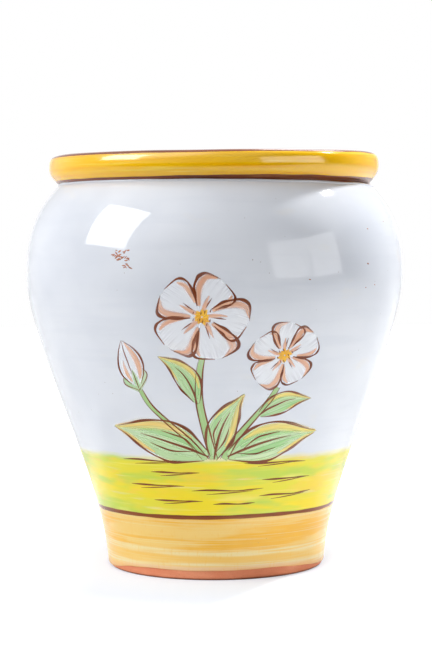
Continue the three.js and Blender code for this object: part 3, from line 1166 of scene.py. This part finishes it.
# paint laid wet: two tones shared out among strokes, streaked by the hairs, thin at the edges and ends
def paintFinish(name, tones, thin, soft, cover, dry, hairWidth, roughness=paint["roughness"]):
    finish = newFinish(name, IOR=1.5)
    hairs = finish.hairs(hairWidth, paint["hairLength"])
    colour = finish.mix(tint(tones[0]), tint(tones[1]), finish.attribute("strokeDraw"))
    patch = finish.ramp(finish.noise(*paint["patch"]), *paint["patchRun"])
    colour = finish.mix(colour, tint(tones[1]), patch * paint["patchCover"])
    colour = finish.mix(colour, tint(thin), finish.ramp(hairs, *paint["hairRun"]) * paint["hairCover"])
    finish.feed(finish.shader["Base Color"], colour)
    inside = 1 - abs(finish.attribute("strokeAcross"))
    share = finish.attribute("strokeShare")
    torn = finish.ramp(hairs, *paint["tornRun"]) * finish.ramp(share, *paint["tornFrom"]) * dry
    ends = finish.ramp(share * (1 - share), *paint["endRun"])
    finish.feed(finish.shader["Alpha"], finish.ramp(inside, 0.0, soft) * ends * (1 - torn) * cover)
    glazeSurface(finish, roughness)
    return finish


# two tones, thin tone, soft edge, cover, dryness, width of the hairs
brown = paintFinish("brown outline", ("#6a3018", "#7c4026"), "#9a6446", 0.35, 1.0, 0.4, 0.4)
rust = paintFinish("rust", ("#8a4226", "#ad663c"), "#c07e50", 0.4, 1.0, 0.3, 0.4, roughness=0.3)
petal = paintFinish("petal white", ("#fafbff", "#f4f5fa"), "#ffffff", 0.3, 0.4, 0.3, 1.4)
blush = paintFinish("petal peach", ("#e4b192", "#d89c7a"), "#edd0bc", 0.8, 0.95, 0.6, 0.8)
heart = paintFinish("blossom ochre", ("#f2bd42", "#e9a832"), "#f6d680", 0.4, 1.0, 0.2, 0.6)
gold = paintFinish("leaf gold", ("#ecd878", "#e8c270"), "#eee6ae", 1.0, 0.95, 0.4, 0.8)
green = paintFinish("leaf green", ("#b4d49c", "#a9ce8f"), "#c8dcb4", 0.15, 0.9, 0.3, 1.6)
tones = paintFinish("leaf tones", ("#8dc67a", "#c9dcb4"), "#d3e2c6", 0.7, 0.9, 0.6, 1.0)
stalk = paintFinish("stem green", ("#a6c984", "#9ac27a"), "#c8dab0", 0.3, 0.95, 0.2, 0.9)
petalBrush.piece("petal_washes", petal, None)
stemBrush.piece("stems", stalk, None)
leafBrush.piece("leaf_washes", green, None)
leafToneBrush.piece("leaf_tones", tones, None)
goldBrush.piece("leaf_gold_edges", gold, None)
blushBrush.piece("petal_blushes", blush, None)
heartBrush.piece("blossom_hearts", heart, "ochre_glaze")
outlineBrush.piece("brown_outlines", brown, "brown_line")
grassBrush.piece("meadow_dashes", brown, "brown_line")
speckBrush.piece("rust_specks", rust, "brown_line")
print("painting done:", len(outlineBrush.rows), "outlines")

# Stage: pale floor, white surround, soft lamps; sizes from here on are in metres
studio = {
    "floorSize": 8.0, "floorColour": "#f4f4f4", "seenColour": "#b6bac6", "mirrorColour": "#bababa",
    "sockets": {"Roughness": 0.9, "Specular IOR Level": 0.0, "Emission Strength": 1.0},
    "floorGlow": 0.46, "openReach": (0.13, 0.24), "shadeReach": (0.075, 0.16), "edgeDepth": (-0.55, -0.30),
    "nearReach": (0.22, 0.34), "nearDepth": (-0.05, 0.05), "nearShine": 0.6,
    "farDepth": (0.7, 1.2), "farShine": 0.3,
}
floorMesh = bpy.data.meshes.new("floor")
reach = studio["floorSize"] / 2
floorCorners = [(-reach, -reach, 0), (reach, -reach, 0), (reach, reach, 0), (-reach, reach, 0)]
floorMesh.from_pydata(floorCorners, [], [(0, 1, 2, 3)])
floor = bpy.data.objects.new("floor", floorMesh)
bpy.context.scene.collection.objects.link(floor)


def floorFinish():
    finish = newFinish("pale floor", **studio["sockets"])
    place = finish.place()
    far = finish.node("ShaderNodeVectorMath", {"operation": "LENGTH"}, {0: place}, out="Value")
    aside = finish.axis(place, "X")
    depth = finish.axis(place, "Y")
    kinds = ("Is Camera Ray", "Is Glossy Ray", "Is Transmission Ray")
    camera, glossy, through = (finish.node("ShaderNodeLightPath", {}, {}, out=kind) for kind in kinds)
    # past the table's front edge the pot faces a dark room
    past = (1 - camera) * (1 - finish.ramp(depth, *studio["edgeDepth"]))
    colour = finish.mix(tint(studio["floorColour"]), tint(studio["seenColour"]), camera)
    colour = finish.mix(colour, tint(studio["mirrorColour"]), glossy)
    finish.feed(finish.shader["Base Color"], finish.mix(colour, black, past))
    # white beside the shadow and far off
    wide = finish.ramp(abs(aside), *studio["shadeReach"])
    opened = wide + (1 - wide) * finish.ramp(far, *studio["openReach"])
    glow = (camera + through) * (studio["floorGlow"] + opened * (1 - studio["floorGlow"]))
    # the floor shines in the glaze: close by in the bands, far behind along the outline
    near = finish.ramp(depth, *studio["nearDepth"]) * (1 - finish.ramp(far, *studio["nearReach"]))
    behind = finish.ramp(depth, *studio["farDepth"])
    glow = glow + glossy * (near * studio["nearShine"] + behind * studio["farShine"])
    finish.feed(finish.shader["Emission Color"], finish.mix(black, pureWhite, glow))
    return finish


floorMesh.materials.append(floorFinish().material)

# soft light of the room: which way each patch of it lies, where it starts and is full, how bright it is
room = [
    ((0, 1, 0), 0.89, 0.97, 0.45), ((0, 1, 0), -0.1, 0.7, 0.51), ((0, -1, 0), 0.2, 0.9, 0.28),
    ((-1, 0, 0), 0.0, 0.8, 0.39), ((0, 0, 1), 0.5, 0.95, 0.31), ((0, -0.6, 0.8), 0.75, 0.97, 0.29),
    ((-0.55, -0.35, 0.76), 0.75, 0.97, 1.80),
]
world = bpy.data.worlds.new("studio")
bpy.context.scene.world = world
world.use_nodes = True
sky = Finish(world.node_tree)
facing = sky.node("ShaderNodeTexCoord", {}, {}, out="Generated")
soft = 0.0
for way, low, high, bright in room:
    sockets = {0: facing, 1: way}
    toward = sky.node("ShaderNodeVectorMath", {"operation": "DOT_PRODUCT"}, sockets, out="Value")
    soft = soft + bright * sky.ramp(toward, low, high)
seen = sky.node("ShaderNodeLightPath", {}, {}, out="Is Camera Ray")
grey = sky.node("ShaderNodeCombineXYZ", {}, {0: soft, 1: soft, 2: soft})
sky.feed(world.node_tree.nodes["Background"].inputs["Color"], sky.mix(grey, pureWhite, seen))

# bright lights the surfaces, gleam shows in the gloss
lamps = {
    "left softbox": {
        "place": (-1.224, -0.518, 0.994), "size": (0.78, 0.88), "bright": 1.86, "gleam": 5.6, "roll": 0,
    },
    "back lamp": {
        "place": (0.896, 0.673, 1.415), "size": (0.18, 0.12), "bright": 475.0, "gleam": 0, "roll": -25,
    },
    "back lamp gleam": {
        "place": (1.085, 0.391, 1.395), "size": (0.18, 0.06), "bright": 0, "gleam": 120.0, "roll": -25,
    },
    "right panel near": {
        "place": (1.120, -1.170, 0.450), "size": (0.65, 0.68), "bright": 0, "gleam": 1.7, "roll": 6,
    },
    "right panel far": {
        "place": (1.505, -0.644, 0.512), "size": (0.62, 0.72), "bright": 1.16, "gleam": 2.0, "roll": 8,
    },
    "crest gleam": {
        "place": (0.345, 1.115, 1.151), "size": (0.42, 0.16), "bright": 0, "gleam": 8.0, "roll": 0,
    },
}
aim = Vector((0, 0, 0.2))
lampParts = {"bright": 1.0, "gleam": 0.99}  # the gleam is a lamp of its own, just in front
lampPower = 4  # watts for each square metre of a lamp at brightness 1
for name, lamp in lamps.items():
    for part, nearness in lampParts.items():
        if not lamp[part]:
            continue
        light = bpy.data.lights.new(name + " " + part, "AREA")
        light.shape = "RECTANGLE"
        light.size, light.size_y = lamp["size"]
        light.energy = lampPower * lamp[part] * light.size * light.size_y
        holder = bpy.data.objects.new(name + " " + part, light)
        holder.location = Vector(lamp["place"]) * nearness
        rolled = Quaternion((0, 0, 1), math.radians(lamp["roll"]))
        holder.rotation_mode = "QUATERNION"
        holder.rotation_quaternion = (aim - holder.location).to_track_quat("-Z", "Y") @ rolled
        holder.visible_camera = False
        holder.visible_diffuse = part == "bright"
        holder.visible_glossy = part == "gleam"
        bpy.context.scene.collection.objects.link(holder)

# a round net hung in the back lamp's beam, so that the pot's back isn't overlit
net = {"radius": 0.088, "toward": 0.45, "aside": -0.030, "down": 0.066, "stops": 0.96, "points": 48}
beam = (Vector(lamps["back lamp"]["place"]) - aim).normalized()
level = Vector((beam.y, -beam.x, 0)).normalized()
upright = level.cross(beam)
netMiddle = aim + beam * net["toward"] + level * net["aside"] - upright * net["down"]
spokes = [fullTurn * i / net["points"] for i in range(net["points"])]
netRim = [netMiddle + net["radius"] * (math.cos(a) * level + math.sin(a) * upright) for a in spokes]
netMesh = bpy.data.meshes.new("net")
netMesh.from_pydata(netRim, [], [list(range(net["points"]))])
netMesh.materials.append(newFinish("grey net", Alpha=net["stops"]).material)
hung = bpy.data.objects.new("net", netMesh)
bpy.context.scene.collection.objects.link(hung)
hung.visible_camera = False
hung.visible_diffuse = False
hung.visible_glossy = False
hung.visible_transmission = False

view = {
    "place": (0, -1.218, 0.2135), "lens": 97.56, "sensor": 36, "down": 2.25, "right": 0.04, "roll": -0.33,
}
shot = bpy.data.cameras.new("camera")
shot.lens = view["lens"]
shot.sensor_width = view["sensor"]
camera = bpy.data.objects.new("camera", shot)
camera.location = view["place"]
looking = Quaternion((0, 0, 1), math.radians(-view["right"]))
looking = looking @ Quaternion((1, 0, 0), math.radians(90 - view["down"]))
camera.rotation_mode = "QUATERNION"
camera.rotation_quaternion = looking @ Quaternion((0, 0, 1), math.radians(view["roll"]))
bpy.context.scene.collection.objects.link(camera)
bpy.context.scene.camera = camera
bpy.context.scene.view_settings.view_transform = "Standard"
print("stage set")
